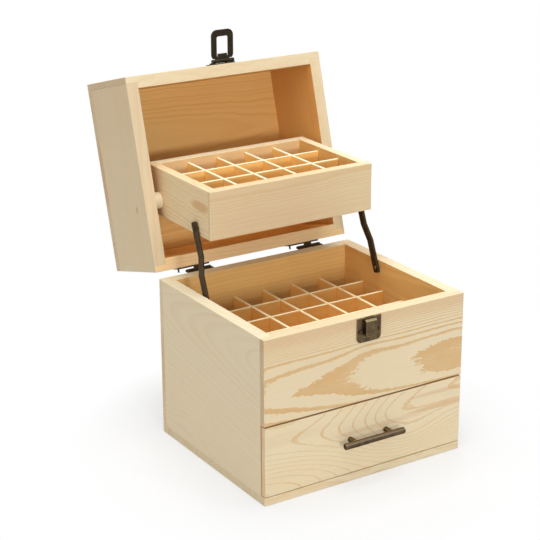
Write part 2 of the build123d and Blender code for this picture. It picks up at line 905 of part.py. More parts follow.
with BuildPart() as hasp_bracket:
    with BuildSketch(hasp_plane):
        with Locations((0, hasp_height / 2)):
            RectangleRounded(hasp_width, hasp_height, hasp_corner)
    extrude(amount=hasp_thickness)
    for start in (-ear_start - hasp_ear, ear_start):
        with BuildSketch(on(lid_frame, Plane.YZ.offset(latch_shift + start))):
            with Locations((hasp_axis_y, hasp_axis_z)):
                Circle(hasp_barrel_radius)
            ear_web_z = hasp_axis_z + hasp_barrel_radius - hasp_thickness / 2
            with Locations(((front_y + hasp_axis_y) / 2, ear_web_z)):
                Rectangle(front_y - hasp_axis_y, hasp_thickness)
        extrude(amount=hasp_ear)
    with BuildSketch(on(lid_frame, Plane.YZ.offset(latch_shift))):
        with Locations((hasp_axis_y, hasp_axis_z)):
            Circle(hasp_pin_radius + fixed_fit)
    extrude(amount=hasp_width, both=True, mode=Mode.SUBTRACT)
    drill(
        lid_front_face.offset(hasp_thickness),
        hasp_spots,
        small_shank + fixed_fit,
        2 * hasp_thickness,
    )

hasp_bracket.part.label = "hasp_bracket"
export_step(hasp_bracket.part, "parts/hasp_bracket.step")

hasp_pin_length = 2 * (ear_start + hasp_ear)

with BuildPart() as hasp_pin:
    with BuildSketch(on(lid_frame, Plane.YZ.offset(latch_shift - hasp_pin_length / 2))):
        with Locations((hasp_axis_y, hasp_axis_z)):
            Circle(hasp_pin_radius)
    extrude(amount=hasp_pin_length)

hasp_pin.part.label = "hasp_pin"
export_step(hasp_pin.part, "parts/hasp_pin.step")

hasp_screws = round_screws(
    lid_front_face.offset(hasp_thickness), hasp_spots, *small_round_screw
)
hasp_screws.part.label = "hasp_screws"
export_step(hasp_screws.part, "parts/hasp_screws.step")

# Hasp loop, a flat ring with a small tab at the foot of its window. It stands straight up while the
# lid is open, set back from its own pin
loop_axis = opened(hasp_axis_y, hasp_axis_z)
loop_plane = Plane(origin=(latch_shift, *loop_axis), x_dir=(1, 0, 0), z_dir=(0, -1, 0))

with BuildPart() as hasp_loop:
    with BuildSketch(loop_plane.offset(-loop_set_back)):
        with Locations((0, (loop_start + loop_reach) / 2)):
            RectangleRounded(loop_width, loop_reach - loop_start, loop_corner)
        with Locations((0, window_start + window_height / 2)):
            RectangleRounded(window_width, window_height, window_corner, mode=Mode.SUBTRACT)
        with Locations((0, window_start)):
            Rectangle(window_tab_width, 2 * window_tab_height)
        for side in (-1, 1):
            ear_room = ear_start + hasp_ear - hasp_middle / 2 + slip
            with Locations((side * (hasp_middle / 2 + ear_room / 2), 0)):
                Rectangle(ear_room, 2 * (hasp_barrel_radius + 2 * slip), mode=Mode.SUBTRACT)
    extrude(amount=loop_thickness / 2, both=True)
    front_edges = hasp_loop.edges().group_by(Axis.Y)[0]
    fillet(front_edges, loop_edge_round)
    back_edges = hasp_loop.edges().group_by(Axis.Y)[-1]
    fillet(back_edges, loop_edge_round)
    with BuildSketch(Plane.YZ.offset(latch_shift - hasp_middle / 2)):
        with Locations(loop_axis):
            Circle(hasp_barrel_radius)
    extrude(amount=hasp_middle)
    with BuildSketch(Plane.YZ.offset(latch_shift - hasp_middle / 2)):
        with Locations(loop_axis):
            Circle(hasp_pin_radius + turning_fit)
    extrude(amount=hasp_middle, mode=Mode.SUBTRACT)

hasp_loop.part.label = "hasp_loop"
export_step(hasp_loop.part, "parts/hasp_loop.step")

# Wooden spacers between the lid and the tray, and the screws that the tray turns on
with BuildPart() as tray_spacers:
    with BuildSketch(Plane.YZ.offset(tray_x + spacer_gap)):
        with Locations(tray_pivot):
            Circle(spacer_radius)
            Circle(tray_pivot_shank + fixed_fit, mode=Mode.SUBTRACT)
    extrude(amount=inner_x - tray_x - spacer_gap)
    mirror(about=Plane.YZ)

tray_spacers.part.label = "tray_spacers"
export_step(tray_spacers.part, "parts/tray_spacers.step")

with BuildPart() as tray_pivot_screws:
    add(
        round_screws(
            tray_pivot_seat,
            [(0, 0)],
            tray_pivot_head,
            tray_pivot_head_height,
            tray_pivot_shank,
            inner_x + tray_pivot_length - tray_pivot_seat_x,
        ).part
    )
    mirror(about=Plane.YZ)

tray_pivot_screws.part.label = "tray_pivot_screws"
export_step(tray_pivot_screws.part, "parts/tray_pivot_screws.step")

# Tray boards
tray_frame = Plane(origin=(0, tray_middle_y, 0))
tray_inner_width = tray_width - 2 * tray_side
tray_inner_depth = tray_depth - 2 * tray_end
tray_panel_low = tray_low + tray_bottom_lift
tray_floor = tray_panel_low + tray_bottom_thickness
head_recess = tray_pivot_head_height + 2 * slip + arm_play


def tray_edges(shape):
    """The outer corners of the tray that a piece has."""
    return outer_edges(
        shape,
        tray_frame,
        (-tray_x, tray_x),
        (-tray_depth / 2, tray_depth / 2),
        (tray_low, tray_high),
    )


with BuildPart() as tray_panel_pocket:
    with BuildSketch(on(tray_frame, Plane.XY.offset(tray_panel_low))):
        Rectangle(tray_inner_width + 2 * tray_groove, tray_inner_depth + 2 * tray_groove)
    extrude(amount=tray_bottom_thickness)

with BuildPart() as tray_right_side:
    with BuildSketch(on(tray_frame, Plane.XY.offset(tray_low))):
        with Locations((tray_x - tray_side / 2, 0)):
            Rectangle(tray_side, tray_depth - 2 * tray_lap)
    extrude(amount=tray_height)
    add(tray_panel_pocket.part, mode=Mode.SUBTRACT)
    drill(tray_outer_wall, [(0, 0)], pivot_shank + fixed_fit, pivot_length + tip_space)
    with Locations(
        Plane(origin=(tray_x - tray_side, *tray_pivot), x_dir=(0, 1, 0), z_dir=(-1, 0, 0))
    ):
        CounterBoreHole(
            tray_pivot_shank + turning_fit, tray_pivot_head + 2 * slip, head_recess, 2 * tray_side
        )
    fillet(tray_edges(tray_right_side.part), edge_round)

tray_right_side.part.label = "tray_right_side"
export_step(tray_right_side.part, "parts/tray_right_side.step")

with BuildPart() as tray_left_side:
    mirror(tray_right_side.part, about=Plane.YZ)

tray_left_side.part.label = "tray_left_side"
export_step(tray_left_side.part, "parts/tray_left_side.step")

with BuildPart() as tray_front_board:
    add(
        lapped_board(
            tray_frame,
            tray_width,
            -tray_depth / 2,
            1,
            tray_end,
            tray_side,
            tray_lap,
            tray_low,
            tray_high,
        ).part
    )
    add(tray_panel_pocket.part, mode=Mode.SUBTRACT)
    fillet(tray_edges(tray_front_board.part), edge_round)

tray_front_board.part.label = "tray_front_board"
export_step(tray_front_board.part, "parts/tray_front_board.step")

with BuildPart() as tray_back_board:
    mirror(tray_front_board.part, about=on(tray_frame, Plane.XZ))

tray_back_board.part.label = "tray_back_board"
export_step(tray_back_board.part, "parts/tray_back_board.step")

with BuildPart() as tray_bottom:
    with BuildSketch(on(tray_frame, Plane.XY.offset(tray_panel_low))):
        Rectangle(
            tray_inner_width + 2 * tray_groove - 2 * slip,
            tray_inner_depth + 2 * tray_groove - 2 * slip,
        )
    extrude(amount=tray_bottom_thickness)

tray_bottom.part.label = "tray_bottom"
export_step(tray_bottom.part, "parts/tray_bottom.step")

tray_grid_floor = Plane(origin=(0, tray_middle_y, tray_floor))
tray_divider_height = tray_high - tray_rim_drop - tray_floor
tray_grid = (
    (tray_inner_width, tray_inner_depth),
    tray_divider_height,
    (tray_columns, tray_rows),
    tray_divider,
)

tray_long_dividers = long_dividers(tray_grid_floor, *tray_grid)
tray_long_dividers.part.label = "tray_long_dividers"
export_step(tray_long_dividers.part, "parts/tray_long_dividers.step")

tray_cross_dividers = cross_dividers(tray_grid_floor, *tray_grid)
tray_cross_dividers.part.label = "tray_cross_dividers"
export_step(tray_cross_dividers.part, "parts/tray_cross_dividers.step")

# Arms: flat bars with a sideways step, because the case's walls stand wider than the tray
arm_frame = Plane(
    origin=(0, *arm_pivot),
    x_dir=(0, link_back, link_up),
    z_dir=(0, link_up, -link_back),
)
step_in = low_arm_x - high_arm_x
lean = arm_thickness * math.tan(math.atan2(step_in, arm_bend_length) / 2)
bend_end = arm_bend_start + arm_bend_length

with BuildPart() as right_arm:
    with BuildSketch(arm_frame):
        with BuildLine():
            Polyline(
                (-arm_low_end, low_arm_x),
                (arm_bend_start, low_arm_x),
                (bend_end, high_arm_x),
                (link_length + arm_high_end, high_arm_x),
                (link_length + arm_high_end, high_arm_x + arm_thickness),
                (bend_end + lean, high_arm_x + arm_thickness),
                (arm_bend_start + lean, low_arm_x + arm_thickness),
                (-arm_low_end, low_arm_x + arm_thickness),
                close=True,
            )
        make_face()
    extrude(amount=arm_width / 2, both=True)
    end_corners = right_arm.edges().filter_by(Axis.X)
    fillet(end_corners, arm_corner)
    with BuildSketch(Plane.YZ):
        with Locations(arm_pivot):
            Circle(pivot_shank + turning_fit)
        with Locations(tray_screw):
            Circle(pivot_shank + open_pivot_fit)
    extrude(amount=case_width, mode=Mode.SUBTRACT)

right_arm.part.label = "right_arm"
export_step(right_arm.part, "parts/right_arm.step")

with BuildPart() as left_arm:
    mirror(right_arm.part, about=Plane.YZ)

left_arm.part.label = "left_arm"
export_step(left_arm.part, "parts/left_arm.step")

# Screws and washers at both ends of the arms
pivot_screw = (pivot_head, pivot_head_height, pivot_shank)

with BuildPart() as arm_case_screws:
    add(
        round_screws(
            arm_low_seat, [(0, 0)], *pivot_screw, inner_x + pivot_length - low_head_x
        ).part
    )
    mirror(about=Plane.YZ)

arm_case_screws.part.label = "arm_case_screws"
export_step(arm_case_screws.part, "parts/arm_case_screws.step")

with BuildPart() as arm_tray_screws:
    add(
        round_screws(
            arm_high_seat, [(0, 0)], *pivot_screw, high_head_x - tray_x + pivot_length
        ).part
    )
    mirror(about=Plane.YZ)

arm_tray_screws.part.label = "arm_tray_screws"
export_step(arm_tray_screws.part, "parts/arm_tray_screws.step")

with BuildPart() as arm_case_washers:
    with BuildSketch(Plane.YZ.offset(low_washer_x)):
        with Locations(arm_pivot):
            Circle(washer_radius)
            Circle(pivot_shank + fixed_fit, mode=Mode.SUBTRACT)
    extrude(amount=washer_thickness)
    mirror(about=Plane.YZ)

arm_case_washers.part.label = "arm_case_washers"
export_step(arm_case_washers.part, "parts/arm_case_washers.step")

with BuildPart() as arm_tray_washers:
    with BuildSketch(Plane.YZ.offset(tray_x)):
        with Locations(tray_screw):
            Circle(washer_radius)
            Circle(pivot_shank + fixed_fit, mode=Mode.SUBTRACT)
    extrude(amount=washer_thickness)
    mirror(about=Plane.YZ)

arm_tray_washers.part.label = "arm_tray_washers"
export_step(arm_tray_washers.part, "parts/arm_tray_washers.step")

print("arms", round(link_length, 2), "mm between their screws")
print("tray stands at", round(tray_low, 2), "to", round(tray_high, 2), "mm with the lid open")
print("tray hangs", round(tray_pivot_closed[1] - (tray_pivot[1] - tray_low), 2), "mm up when shut")
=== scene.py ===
# %% [markdown]
# # A pine box for small bottles
#
# The box is a case with a slotted compartment above a drawer. Its lid swings up behind it and
# lifts a slotted tray with it. The engineering model already has every board, hinge and screw at
# its real size, so this lesson keeps those solids and gives them what a camera sees: pine with
# growth rings that run through each board, worn bronze fittings, softened edges and the light of a
# small studio.

# %% Load the fixed frame
import math

import bmesh
import bpy
from mathutils import Matrix, Vector
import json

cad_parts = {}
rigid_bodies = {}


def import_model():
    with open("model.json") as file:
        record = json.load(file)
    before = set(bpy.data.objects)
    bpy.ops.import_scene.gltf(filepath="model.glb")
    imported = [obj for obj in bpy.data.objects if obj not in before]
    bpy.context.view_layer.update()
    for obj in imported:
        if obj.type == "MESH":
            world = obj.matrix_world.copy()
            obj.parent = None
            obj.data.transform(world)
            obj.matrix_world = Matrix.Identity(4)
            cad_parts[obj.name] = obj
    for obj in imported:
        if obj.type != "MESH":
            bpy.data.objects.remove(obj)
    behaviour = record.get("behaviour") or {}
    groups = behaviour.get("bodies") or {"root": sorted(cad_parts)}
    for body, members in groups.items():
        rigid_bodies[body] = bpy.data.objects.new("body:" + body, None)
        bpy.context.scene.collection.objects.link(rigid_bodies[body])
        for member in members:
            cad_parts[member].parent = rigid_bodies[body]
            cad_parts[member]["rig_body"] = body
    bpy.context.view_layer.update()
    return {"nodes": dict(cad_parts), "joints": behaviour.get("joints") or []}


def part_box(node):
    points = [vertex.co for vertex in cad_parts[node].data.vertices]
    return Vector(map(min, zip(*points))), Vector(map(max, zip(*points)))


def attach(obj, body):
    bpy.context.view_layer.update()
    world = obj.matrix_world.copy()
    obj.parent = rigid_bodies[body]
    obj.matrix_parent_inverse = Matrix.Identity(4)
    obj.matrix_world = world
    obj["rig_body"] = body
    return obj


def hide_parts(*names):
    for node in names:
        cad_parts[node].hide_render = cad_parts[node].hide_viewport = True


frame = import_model()
nodes = frame["nodes"]
joints = {joint["name"]: joint for joint in frame["joints"]}

# %% [markdown]
# ## Where the lid stands
#
# The lid rests open, so its boards are turned. A board's grain has to follow the board, and the
# swing of the hinge gives that turn: its whole range is the angle between shut and open.

# %% Directions of the case and of the open lid
MM = 0.001
X = Vector((1, 0, 0))
Y = Vector((0, 1, 0))
Z = Vector((0, 0, 1))
lid_swing = math.radians(joints["lid_hinge"]["range_deg"][1])
lid_turn = Matrix.Rotation(-lid_swing, 3, "X")
lid_Y = lid_turn @ Y
lid_Z = lid_turn @ Z
print("lid opened by", round(math.degrees(lid_swing), 1), "degrees")

# %% [markdown]
# ## The camera
#
# The box is looked at from its left front corner, a little from above and through a long lens,
# which keeps its edges nearly parallel. The view is given as a photographer would say it: how far
# round, how high, how far away and what it is aimed at. The lamps use the same helper later on.
# The Standard view transform shows each colour as it is written, which suits a plain catalogue
# picture.


# %% Camera
def direction(azimuth, elevation):
    """The way from the box to a point, in degrees round from its front and up from the floor."""
    turn = math.radians(azimuth)
    rise = math.radians(elevation)
    return Vector(
        (math.sin(turn) * math.cos(rise), -math.cos(turn) * math.cos(rise), math.sin(rise))
    )


view_azimuth = -32.23
view_elevation = 19.52
view_roll = math.radians(-0.29)
view_distance = 1.4514
view_target = Vector((-0.0439, 0, 0.1840))
sensor_width = 36
focal_length = 104.83
far_limit = 20

towards_camera = direction(view_azimuth, view_elevation)
camera_data = bpy.data.cameras.new("camera")
camera_data.sensor_width = sensor_width
camera_data.lens = focal_length
camera_data.clip_end = far_limit
camera = bpy.data.objects.new("camera", camera_data)
bpy.context.scene.collection.objects.link(camera)
camera.location = view_target + view_distance * towards_camera
aim = towards_camera.to_track_quat("Z", "Y").to_matrix() @ Matrix.Rotation(view_roll, 3, "Z")
camera.rotation_euler = aim.to_euler()
bpy.context.scene.camera = camera
bpy.context.scene.view_settings.view_transform = "Standard"
print("camera at", [round(value, 3) for value in camera.location])

# %% [markdown]
# ## Building materials with short calls
#
# Every finish here is a tree of shader nodes. It could be wired by hand in the shader editor, but
# more than thirty trees here differ in a few numbers only. Adding a node, setting its options and
# joining its inputs takes several lines each time, so one helper does all three, and the finishes
# below read almost like the formulas that they are.


# %% Helpers that start, extend and end a tree
def empty_material(name):
    """A material whose node tree is still empty."""
    material = bpy.data.materials.new(name)
    material.use_nodes = True
    material.node_tree.nodes.clear()
    return material


def node(tree, kind, inputs, **settings):
    """Add a shader node, set its options, and feed each input from a socket or a plain value."""
    made = tree.nodes.new(kind)
    for name, value in settings.items():
        setattr(made, name, value)
    for key, value in inputs.items():
        if isinstance(value, bpy.types.NodeSocket):
            tree.links.new(value, made.inputs[key])
        else:
            made.inputs[key].default_value = value
    return made


def calculate(tree, operation, *values):
    """One arithmetic step on sockets or plain numbers."""
    return node(tree, "ShaderNodeMath", dict(enumerate(values)), operation=operation).outputs[0]


def lay_surface(tree, inputs):
    """End a tree with one shader for the whole surface."""
    surface = node(tree, "ShaderNodeBsdfPrincipled", inputs)
    node(tree, "ShaderNodeOutputMaterial", {"Surface": surface.outputs[0]})


# %% [markdown]
# ## Noise, ramps and mixing
#
# Wood is the same pattern drawn out along the grain, so its noise needs a different scale in each
# direction. A ramp turns any number into a colour or into a sharper mask. A mix lays one colour
# over another, or multiplies the two, as a thin glaze would.


# %% Helpers for patterns and colours
def stretched_noise(tree, place, stretch, seed, detail=2.0, roughness=0.5):
    """Noise whose grains are drawn out by different amounts in each direction, per millimetre."""
    scaled = node(
        tree, "ShaderNodeVectorMath", {0: place, 1: stretch, 2: (seed, 2 * seed, 3 * seed)},
        operation="MULTIPLY_ADD",
    )
    noise = node(
        tree, "ShaderNodeTexNoise",
        {"Vector": scaled.outputs[0], "Scale": 1.0, "Detail": detail, "Roughness": roughness},
    )
    return noise.outputs[0]


def ramp(tree, factor, stops):
    """A colour ramp from (position, colour) pairs; a plain number stands for a grey."""
    made = node(tree, "ShaderNodeValToRGB", {0: factor})
    line = made.color_ramp
    while len(line.elements) < len(stops):
        line.elements.new(0.5)
    for element, (position, colour) in zip(line.elements, stops):
        element.position = position
        grey = isinstance(colour, (int, float))
        element.color = (colour, colour, colour, 1) if grey else (*colour, 1)
    return made.outputs[0]


def blend_colours(tree, factor, first, second, how="MIX"):
    """Mix or multiply two colours by a factor."""
    made = node(
        tree, "ShaderNodeMix", {0: factor, 6: first, 7: second}, data_type="RGBA", blend_type=how
    )
    return made.outputs[2]


def facing_mask(tree, first, second, stops):
    """A mask from how nearly two directions agree, which is one where they are the same."""
    same = node(tree, "ShaderNodeVectorMath", {0: first, 1: second}, operation="DOT_PRODUCT")
    return ramp(tree, same.outputs["Value"], stops)


# %% [markdown]
# ## Pine
#
# A tree grows in rings, and a board is a slice through them. So the grain is not drawn on each
# face. It is worked out in the solid: how far a point lies from the middle of the tree, counted in
# years. Each year is pale early wood that ends in a thin orange line of late wood. Where a face
# runs nearly along a ring, one line spreads into a broad ragged flame, and where it cuts across
# the rings they are fine lines. On the ends the same rings show as arcs. A branch nearby makes the
# rings swell, and a few such swells give a board its own figure. Finer noise, drawn out along the
# grain, adds fibres and pores.
#
# An ordinary board comes first. Every other board names only what is different about it. All
# lengths are in millimetres, along the grain, across the board and into its depth.

# %% Wood colours and the settings of an ordinary board
EARLY = (0.745, 0.620, 0.415)
HONEY = (0.735, 0.575, 0.350)
LATE = (0.640, 0.415, 0.190)
STAIN_AND_SHADE = (0.600, 0.360, 0.170)
SAWN_END = (0.92, 0.92, 0.93)
plain_look = {
    "pith": (0.0, 55.0),  # the middle of the tree, across from the board's middle and behind it
    "ring": 3.0,  # how wide a year is
    "first_year": 0.0,  # the year counted at the pith
    "taper": 0.010,  # how much nearer the rings come along the grain
    "wobble": 4.0,  # how far the rings wander
    "uneven": 1.6,  # how unequal the years are
    "rag": 0.12,  # how torn the late wood's edge is, in years
    "late": 0.50,  # how strong the late wood is
    "late_share": None,  # the late wood's share of a year, if it has a sharp edge
    "outer_years": None,  # the years between which the late wood fades, and how much is left
    "honey": 0.8,  # how strong the honey patches are
    "swells": (),  # each: along, across, length, height, years that it adds
    "stains": (),  # each: along, across, length, height, strength
    "end": SAWN_END,  # tint of the two sawn ends
    "tints": (),  # each: the way a face looks, and its tint
    "shade": (1.0, 1.0, 1.0),  # tint of the whole board
}
print(len(plain_look), "settings describe a board")

# %% [markdown]
# ## A smooth hill
#
# Swells, stains and the patches of painted shade have a middle and fade away around it. A painted
# mask would need an image, while the bell curve needs eight arithmetic nodes and can be moved or
# widened by changing a number.


# %% A smooth hill, used for swells, stains and painted shade
def hill(tree, u, v, centre_u, centre_v, long, high):
    """One at a point of the board's face, falling smoothly to nothing around it."""
    du = calculate(tree, "DIVIDE", calculate(tree, "SUBTRACT", u, centre_u), long)
    dv = calculate(tree, "DIVIDE", calculate(tree, "SUBTRACT", v, centre_v), high)
    square = calculate(tree, "MULTIPLY_ADD", du, du, calculate(tree, "MULTIPLY", dv, dv))
    return calculate(tree, "EXPONENT", calculate(tree, "MULTIPLY", square, -0.5))


# %% [markdown]
# ## Counting the years
#
# A point's distance from the pith, divided by the width of a ring, is its year. Perfect circles
# look turned on a lathe, so slow noise bends them first. A fine noise tears their edges, the
# swells push them apart, and a last noise that runs over the years makes fat years and thin ones.

# %% How the rings wander, in noise waves per millimetre along and across the grain
LONG_WAVE = (0.007, 0.028, 0.028)
SIDEWAYS_DRIFT = (0.022, 0.006, 0.006)
TORN_EDGE = (0.15, 0.42, 0.42)
FAT_AND_THIN = 0.45


def spread_by(tree, noise, amount, value):
    """Move a value up and down by noise, by half the amount each way."""
    return calculate(
        tree, "MULTIPLY_ADD", calculate(tree, "SUBTRACT", noise, 0.5), amount, value
    )


# %% The years of a board
def count_years(tree, place, look, seed):
    """How many rings from the middle of the tree a point lies, with the board's own wander."""
    u, v, w = node(tree, "ShaderNodeSeparateXYZ", {0: place}).outputs
    wave = stretched_noise(tree, place, LONG_WAVE, seed)
    drift = stretched_noise(tree, place, SIDEWAYS_DRIFT, seed + 3)
    torn = stretched_noise(tree, place, TORN_EDGE, seed + 7, detail=4, roughness=0.58)
    across = calculate(tree, "SUBTRACT", v, look["pith"][0])
    across = spread_by(tree, drift, 2 * look["wobble"], across)
    depth = calculate(tree, "SUBTRACT", w, look["pith"][1])
    square = calculate(
        tree, "MULTIPLY_ADD", across, across, calculate(tree, "MULTIPLY", depth, depth)
    )
    radius = calculate(tree, "SQRT", square)
    radius = calculate(tree, "MULTIPLY_ADD", u, look["taper"], radius)
    radius = spread_by(tree, wave, look["wobble"], radius)
    years = calculate(tree, "MULTIPLY_ADD", radius, 1 / look["ring"], look["first_year"])
    for centre_u, centre_v, long, high, push in look["swells"]:
        rise = hill(tree, u, v, centre_u, centre_v, long, high)
        years = calculate(tree, "MULTIPLY_ADD", rise, push, years)
    years = spread_by(tree, torn, look["rag"], years)
    uneven = node(
        tree, "ShaderNodeTexNoise", {"W": years, "Scale": FAT_AND_THIN, "Detail": 1.0},
        noise_dimensions="1D",
    ).outputs[0]
    return calculate(tree, "MULTIPLY_ADD", uneven, look["uneven"], years), u, v


# %% [markdown]
# ## Late wood
#
# The fraction of the year says where in its season a point grew. On most boards the orange comes
# in softly and stops at once when winter comes. On three show boards it has a sharp edge on both
# sides. Some years are weaker than others, and so is a whole region here and there.

# %% A soft year, and the cloud that weakens some regions
SOFT_YEAR = [(0.0, 0.25), (0.07, 0.0), (0.42, 0.0), (0.80, 0.72), (0.93, 1.0), (1.0, 0.3)]
CLOUD = (0.02, 0.08, 0.08)
CLOUD_SEED = 91.0


def sharp_year(share):
    """Late wood that fills the last share of a year, with an edge on both sides."""
    return [(0.0, 0.0), (1 - share - 0.04, 0.0), (1 - share + 0.02, 0.85), (0.97, 1.0)]


# %% The late wood of each year
def late_wood(tree, place, years, look):
    """How much orange late wood a point has, from where it lies in its year."""
    season = calculate(tree, "FRACT", years)
    stops = SOFT_YEAR if look["late_share"] is None else sharp_year(look["late_share"])
    late = ramp(tree, season, stops)
    which = node(
        tree, "ShaderNodeTexWhiteNoise", {"W": calculate(tree, "FLOOR", years)},
        noise_dimensions="1D",
    ).outputs[0]
    spread = min(0.65, 0.5 * look["uneven"])
    strength = calculate(tree, "MULTIPLY_ADD", which, spread, 1 - spread)
    cloud = stretched_noise(tree, place, CLOUD, CLOUD_SEED)
    strength = calculate(
        tree, "MULTIPLY", strength, calculate(tree, "MULTIPLY_ADD", cloud, 0.6, 0.7)
    )
    if look["outer_years"] is not None:
        first, last, paler = look["outer_years"]
        fade = node(
            tree, "ShaderNodeMapRange", {0: years, 1: first, 2: last, 3: 1.0, 4: paler}
        ).outputs[0]
        strength = calculate(tree, "MULTIPLY", strength, fade)
    return calculate(tree, "MULTIPLY", calculate(tree, "MULTIPLY", late, strength), look["late"])


# %% [markdown]
# ## Stains and tints
#
# Resin and old knots leave brown patches, ragged along the fibres, and the same patches paint
# shade low and at the back inside the case and at the foot of the plates. The ends of a board
# drink light. The tints paint light onto the faces that look up, which are also paler from
# sanding, and paint orange bounce light and shade onto the faces that look into the box. The
# Normal of the object's own coordinates tells which way a face looks, so one tree serves all six
# faces of a board.

# %% Colour laid over the grain
WHERE_A_FACE_LOOKS = [(0.55, 0.0), (0.85, 1.0)]


def stained_and_shaded(tree, colour, fibre, u, v, stains):
    """A colour with brown patches, real stains and painted shade, ragged along the fibres."""
    for centre_u, centre_v, long, high, strength in stains:
        patch = hill(tree, u, v, centre_u, centre_v, long, high)
        ragged = calculate(tree, "MULTIPLY_ADD", fibre, 1.6, -0.8)
        patch = calculate(tree, "ADD", patch, calculate(tree, "MULTIPLY", patch, ragged))
        patch = ramp(tree, patch, [(0.25, 0.0), (0.62, 1.0)])
        amount = calculate(tree, "MULTIPLY", patch, strength)
        colour = blend_colours(tree, amount, colour, (*STAIN_AND_SHADE, 1))
    return colour


def tinted(tree, colour, normal, tints):
    """A colour multiplied by a tint on each face that looks in the tint's direction."""
    for way, tint in tints:
        mask = facing_mask(tree, normal, way, WHERE_A_FACE_LOOKS)
        colour = blend_colours(tree, mask, colour, (*tint, 1), "MULTIPLY")
    return colour


# %% [markdown]
# ## The pine finish
#
# The Mapping node sets a board's own axes: along the grain, across it and out of the show face,
# measured from the board's middle. Then the parts above come together. Fibres and pores darken the
# colour a little and raise the bump, dark canals of resin show here and there, and late wood
# stands slightly proud, because sanding wears the soft early wood away.

# %% The fine grain, in noise waves per millimetre along and across the grain
HONEY_PATCH = (0.006, 0.03, 0.03)
FIBRE = (0.035, 1.5, 1.5)
PORE = (0.22, 5.5, 5.5)
CANAL = (0.07, 1.9, 1.9)


def fine_grain(tree, place, seed):
    """Fibres, pores and the light that these and the resin canals let back out of the wood."""
    fibre = stretched_noise(tree, place, FIBRE, seed + 17, detail=3)
    pores = stretched_noise(tree, place, PORE, seed + 23, detail=2)
    canals = ramp(
        tree, stretched_noise(tree, place, CANAL, seed + 29, detail=1), [(0.70, 1.0), (0.78, 0.88)]
    )
    light = calculate(tree, "MULTIPLY_ADD", fibre, 0.12, 0.94)
    light = calculate(tree, "MULTIPLY", light, calculate(tree, "MULTIPLY_ADD", pores, 0.10, 0.95))
    return fibre, pores, calculate(tree, "MULTIPLY", light, canals)


# %% The pine finish
def pine(name, along, face, centre, seed, **changes):
    """Pine whose grain runs along one way, in a board that faces another, about its centre."""
    look = {**plain_look, **changes}
    material = empty_material(name)
    tree = material.node_tree
    turn = Matrix((along, face.cross(along), face))
    coords = node(tree, "ShaderNodeTexCoord", {})
    place = node(
        tree, "ShaderNodeMapping",
        {
            "Vector": coords.outputs["Object"],
            "Location": -(turn @ centre) / MM,
            "Rotation": turn.to_euler(),
            "Scale": (1 / MM, 1 / MM, 1 / MM),
        },
    ).outputs[0]
    years, u, v = count_years(tree, place, look, seed)
    late = late_wood(tree, place, years, look)
    fibre, pores, light = fine_grain(tree, place, seed)

    warmth = stretched_noise(tree, place, HONEY_PATCH, seed + 11)
    honey = calculate(
        tree, "MULTIPLY", ramp(tree, warmth, [(0.35, 0.0), (0.75, 1.0)]), look["honey"]
    )
    colour = blend_colours(tree, honey, (*EARLY, 1), (*HONEY, 1))
    colour = blend_colours(tree, late, colour, (*LATE, 1))
    colour = stained_and_shaded(tree, colour, fibre, u, v, look["stains"])
    colour = node(
        tree, "ShaderNodeVectorMath", {0: colour, "Scale": light}, operation="SCALE"
    ).outputs[0]
    ends = ((along, look["end"]), (-along, look["end"]))
    colour = tinted(tree, colour, coords.outputs["Normal"], (*ends, *look["tints"]))
    colour = blend_colours(tree, 1.0, colour, (*look["shade"], 1), "MULTIPLY")

    height = calculate(tree, "MULTIPLY_ADD", fibre, 0.6, calculate(tree, "MULTIPLY", pores, 0.5))
    height = calculate(tree, "MULTIPLY_ADD", late, 0.5, height)
    bump = node(
        tree, "ShaderNodeBump", {"Height": height, "Strength": 0.35, "Distance": 0.15 * MM}
    )
    lay_surface(tree, {
        "Base Color": colour,
        "Roughness": calculate(tree, "MULTIPLY_ADD", fibre, 0.16, 0.54),
        "Specular IOR Level": 0.30,
        "Normal": bump.outputs[0],
    })
    return material


# %% [markdown]
# ## Giving each board its own wood
#
# No two boards come from the same place in the tree. The tables below say for each one which way
# its grain runs, which way its show face looks, and where the cut lies: how far the pith is from
# the board, how wide the rings are, and how much they wander. The front board is cut almost along
# a ring, so its swells open into the broad flame, and those of the drawer front nest into tongues.
# The sides are plainer.
#
# Inside a real box the light bounces from wood to wood and turns orange on its way. The renderer
# follows that for a few bounces only, so the tints paint that bounced light and its shade onto the
# faces that look inwards and onto the whole shelf. They also paint light onto the faces that look
# up, which are paler from sanding as well, and paint the shade of the gaps above and beside the
# drawer. A few brown patches paint shade low and at the back inside the case.

# %% Tints: painted bounce light and shade, painted light on top, painted gap shade, sawn ends
# Painted orange bounce light and shade on the faces that look inwards, and on the whole shelf
WARM_INSIDE = (1.03, 0.77, 0.40)
DEEP_INSIDE = (0.98, 0.64, 0.30)
BACK_INSIDE = (1.07, 0.82, 0.44)
RIGHT_INSIDE = (1.10, 0.84, 0.43)
PANEL_INSIDE = (1.13, 0.90, 0.50)
LID_BACK_INSIDE = (1.36, 0.95, 0.50)
TRAY_BACK_INSIDE = (1.12, 0.96, 0.74)
DRAWER_INSIDE = (0.95, 0.85, 0.70)
DARK_SHELF = (1.02, 0.66, 0.32)
# Painted light on the faces that look up, also paler from sanding, and on the lid's back rim
SANDED_AND_LIT_EDGE = (1.18, 1.25, 1.30)
FRONT_RIM = (1.23, 1.40, 1.50)
LID_BACK_RIM = (1.12, 0.98, 0.80)
# Painted shade of the gaps above and beside the drawer
DRAWER_TOP = (0.92, 0.78, 0.58)
SIDE_GAP_SHADE = (0.85, 0.64, 0.44)
SEAM_GAP_SHADE = (0.70, 0.42, 0.22)
FRONT_END = (0.79, 0.77, 0.76)
DRAWER_END = (0.92, 0.88, 0.84)
PANEL_END = (0.84, 0.80, 0.79)
LID_FRONT_END = (0.82, 0.76, 0.70)

